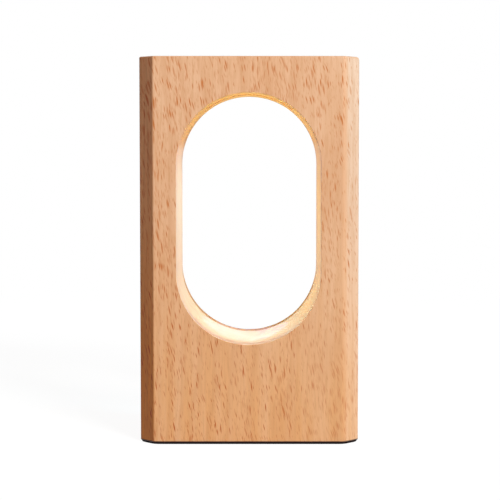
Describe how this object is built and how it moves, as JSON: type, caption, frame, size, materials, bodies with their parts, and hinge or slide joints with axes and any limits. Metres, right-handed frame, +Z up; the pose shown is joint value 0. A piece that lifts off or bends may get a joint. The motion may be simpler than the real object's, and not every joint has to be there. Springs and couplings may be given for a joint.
{
  "type": "desk lamp",
  "caption": "Wooden desk lamp: a chamfered beech block with a round-ended window through it, lit from the window's arch, with a push button on its back.",
  "frame": {"origin": "middle of the footprint, on the surface that the lamp stands on", "axes": "+Z up, +X to the right as seen from the front, the front faces -Y"},
  "size_m": [0.102, 0.06, 0.18],
  "materials": {
    "beech": "satin lacquered beech, upright grain with short dark flecks",
    "base_pad": "dark brown non-slip sheet, matt",
    "black_plastic": "fine moulded texture",
    "button_plastic": "satin, slightly smoother than the panel",
    "aluminium": "extruded, clear anodised",
    "opal_diffuser": "opal acrylic, lit warm from behind",
    "led_strip": "white flexible circuit",
    "led_chip": "phosphor over a white package",
    "cell_wrap": null,
    "foam": "closed-cell foam",
    "tape": "double-sided foam tape",
    "nickel": "nickel strip",
    "circuit_board": "green solder mask",
    "chip_black": "moulded epoxy",
    "ferrite": "matt ferrite",
    "capacitor": "fired ceramic",
    "steel": "zinc plated",
    "white_plastic": "natural nylon",
    "red_insulation": "silicone insulation",
    "black_insulation": "silicone insulation"
  },
  "bodies": {
    "lamp_body": {"base_cover": "black_plastic", "base_pad": "base_pad", "battery_cell": "cell_wrap", "battery_cradle": "black_plastic", "battery_foam": "foam", "battery_lead_black": "black_insulation", "battery_lead_red": "red_insulation", "battery_plug": "white_plastic", "battery_socket": "white_plastic", "board_screw_1": "steel", "board_screw_2": "steel", "button_spring": "steel", "capacitor_1": "capacitor", "capacitor_2": "capacitor", "charge_chip": "chip_black", "cover_screw_1": "steel", "cover_screw_2": "steel", "cover_screw_3": "steel", "cover_screw_4": "steel", "cradle_tape": "tape", "diffuser": "opal_diffuser", "driver_board": "circuit_board", "driver_chip": "chip_black", "front_board": "beech", "inductor": "ferrite", "led_chip_1": "led_chip", "led_chip_2": "led_chip", "led_chip_3": "led_chip", "led_chip_4": "led_chip", "led_chip_5": "led_chip", "led_chip_6": "led_chip", "led_chip_7": "led_chip", "led_chip_8": "led_chip", "led_lead_black": "black_insulation", "led_lead_red": "red_insulation", "led_plug": "white_plastic", "led_socket": "white_plastic", "led_strip": "led_strip", "led_tray": "aluminium", "panel_screw_1": "steel", "panel_screw_2": "steel", "rear_board": "beech", "rear_panel": "black_plastic", "switch_body": "black_plastic", "tab_negative": "nickel", "tab_positive": "nickel", "usb_shell": "steel", "usb_tongue": "black_plastic"},
    "button": {"power_button": "button_plastic", "switch_plunger": "white_plastic"}
  },
  "joints": [
    {"name": "button_press", "type": "slide", "parent": "lamp_body", "child": "button", "axis": [0, -1, 0], "range_m": [0, 0.0009], "stiffness_N_per_m": 1200, "springref_m": -0.0008, "deforming": ["button_spring"]}
  ]
}
